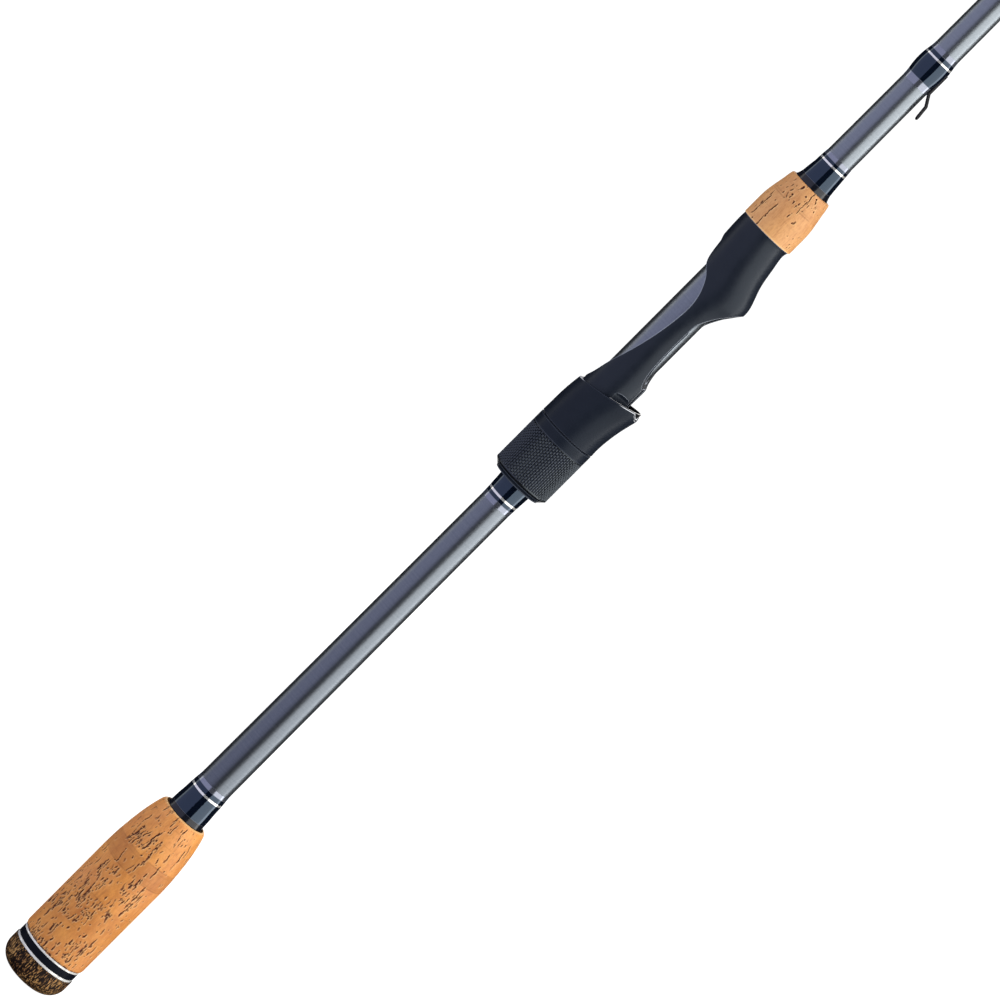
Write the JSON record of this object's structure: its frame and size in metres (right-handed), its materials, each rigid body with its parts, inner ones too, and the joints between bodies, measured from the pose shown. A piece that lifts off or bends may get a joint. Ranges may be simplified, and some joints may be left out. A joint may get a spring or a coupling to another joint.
{
  "type": "spinning rod",
  "caption": "Long tapered fishing rod with a cork butt grip, skeleton reel seat with sliding hood and lock nut, short fore grip, hook keeper, line guides and a pull-apart ferrule.",
  "frame": {"origin": "centre of the butt cap's flat end face", "axes": "+Z along the rod from the butt to the tip, +X towards the reel and the line guides"},
  "size_m": [0.0566, 0.0262, 2.1339],
  "materials": {
    "cork": "turned natural cork with dark pits",
    "burl_cork": "rubberised dark cork with tan specks",
    "silver_ring": "polished",
    "gloss_black": "high gloss",
    "silver_thread": "metallic thread under clear epoxy",
    "thread_wrap": "dark thread under clear epoxy",
    "graphite_blank": "satin ground carbon blank",
    "arbor_foam": "rigid foam",
    "seat_plastic": "soft matte moulding",
    "nut_rubber": "fine knurl",
    "liner_steel": "polished",
    "black_wire": "gloss black",
    "guide_frame": "gunsmoke plated",
    "guide_ceramic": "polished ceramic"
  },
  "bodies": {
    "handle": {"butt_cap": "burl_cork", "butt_trim_ring_rear": "silver_ring", "butt_trim_band": "gloss_black", "butt_trim_ring_front": "silver_ring", "butt_grip_cork": "cork", "butt_winding_check": "gloss_black", "butt_wrap": "thread_wrap", "butt_wrap_trim": "silver_thread", "blank_butt": "graphite_blank", "ferrule_wrap": "thread_wrap", "rear_wrap": "thread_wrap", "rear_wrap_trim": "silver_thread", "seat_core_sleeve": "graphite_blank", "seat_arbors": "arbor_foam", "seat_body": "seat_plastic", "fore_grip_cork": "cork", "fore_winding_check": "gloss_black", "fore_wrap": "thread_wrap", "fore_wrap_trim": "silver_thread", "hook_keeper": "black_wire", "keeper_wrap": "thread_wrap", "keeper_wrap_trim": "silver_thread", "guide_1_frame": "guide_frame", "guide_1_ring": "guide_ceramic", "guide_1_wrap": "thread_wrap"},
    "tip_section": {"blank_tip": "graphite_blank", "socket_wrap": "thread_wrap", "socket_wrap_trim": "silver_thread", "guide_2_frame": "guide_frame", "guide_2_ring": "guide_ceramic", "guide_2_wrap": "thread_wrap", "guide_3_frame": "guide_frame", "guide_3_ring": "guide_ceramic", "guide_3_wrap": "thread_wrap", "guide_4_frame": "guide_frame", "guide_4_ring": "guide_ceramic", "guide_4_wrap": "thread_wrap", "guide_5_frame": "guide_frame", "guide_5_ring": "guide_ceramic", "guide_5_wrap": "thread_wrap", "guide_6_frame": "guide_frame", "guide_6_ring": "guide_ceramic", "guide_6_wrap": "thread_wrap", "guide_7_frame": "guide_frame", "guide_7_ring": "guide_ceramic", "guide_7_wrap": "thread_wrap", "tip_top_frame": "guide_frame", "tip_top_ring": "guide_ceramic", "tip_top_wrap": "thread_wrap"},
    "hood": {"moving_hood": "seat_plastic", "hood_liner": "liner_steel"},
    "nut": {"lock_nut": "seat_plastic", "nut_grip": "nut_rubber"}
  },
  "joints": [
    {"name": "hood_slide", "type": "slide", "parent": "handle", "child": "hood", "axis": [0, 0, 1], "range_m": [0, 0.014]},
    {"name": "nut_turn", "type": "hinge", "parent": "hood", "child": "nut", "pos_m": [0, 0, 0.256], "axis": [0, 0, 1], "range_deg": [0, 2016.5]},
    {"name": "ferrule_slide", "type": "slide", "parent": "handle", "child": "tip_section", "axis": [0, 0, 1], "range_m": [0, 0.07]}
  ],
  "couplings": [
    {"joint": "nut_turn", "follows": "hood_slide", "rad_per_m": 2513.3}
  ]
}
